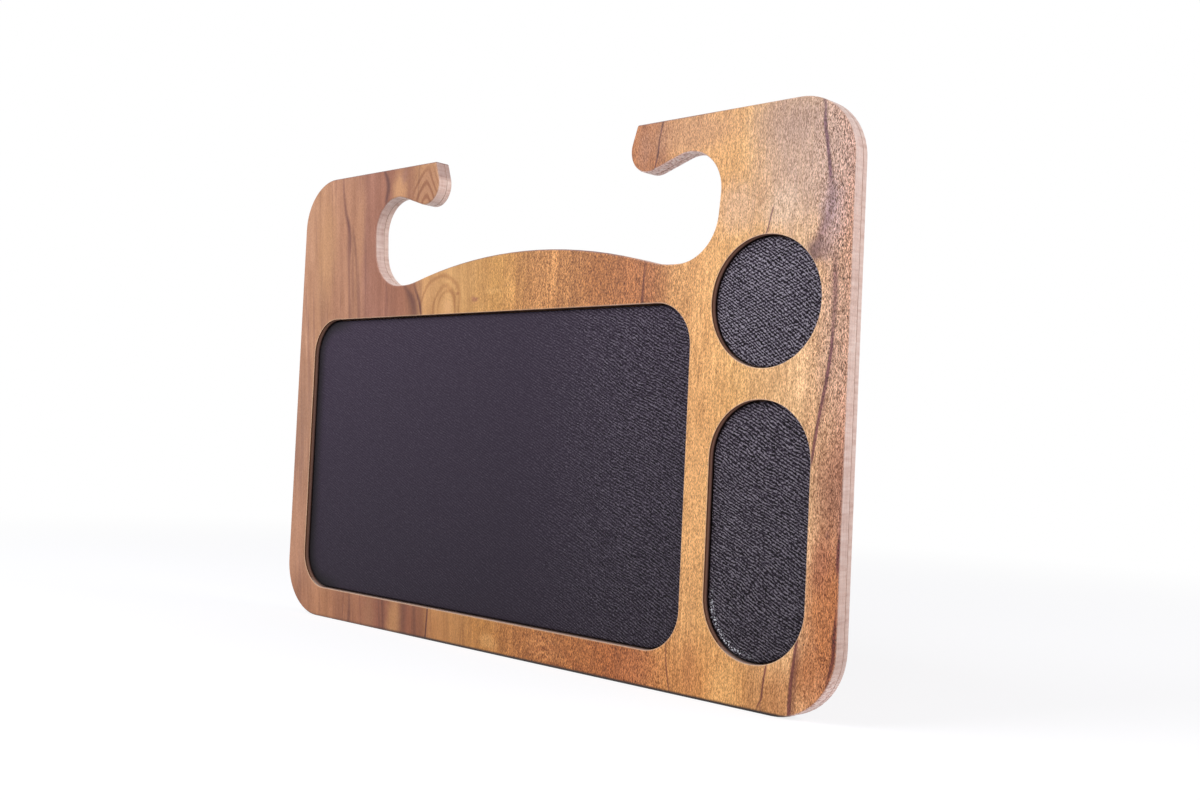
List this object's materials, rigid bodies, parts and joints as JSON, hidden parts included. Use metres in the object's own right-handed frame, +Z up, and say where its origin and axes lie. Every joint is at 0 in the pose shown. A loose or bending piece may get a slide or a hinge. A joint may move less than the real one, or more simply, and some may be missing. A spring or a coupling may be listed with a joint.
{
  "type": "steering wheel desk",
  "caption": "Flat wooden desk that hooks over a steering wheel, with a leather-lined tray pocket, a round cup pocket and a long phone pocket.",
  "frame": {"origin": "middle of the width and of the thickness, on the bottom edge that the desk stands on", "axes": "+X along the width to the right seen from the front, +Y from the front face to the back face, +Z up from the bottom edge to the hooks"},
  "size_m": [0.42, 0.01, 0.28],
  "materials": {
    "front_wood": "satin oiled hardwood with dark veins, grain running up the board",
    "back_wood": "satin oiled hardwood, grain running up the board",
    "leather": "pebbled black leather with a low sheen",
    "core_board": "dull grey pulp board",
    "adhesive": "milky double-sided adhesive sheet"
  },
  "bodies": {
    "root": {"front_board": "front_wood", "back_board": "back_wood", "tray_leather": "leather", "tray_core": "core_board", "tray_adhesive": "adhesive", "cup_leather": "leather", "cup_core": "core_board", "cup_adhesive": "adhesive", "phone_leather": "leather", "phone_core": "core_board", "phone_adhesive": "adhesive"}
  },
  "joints": []
}
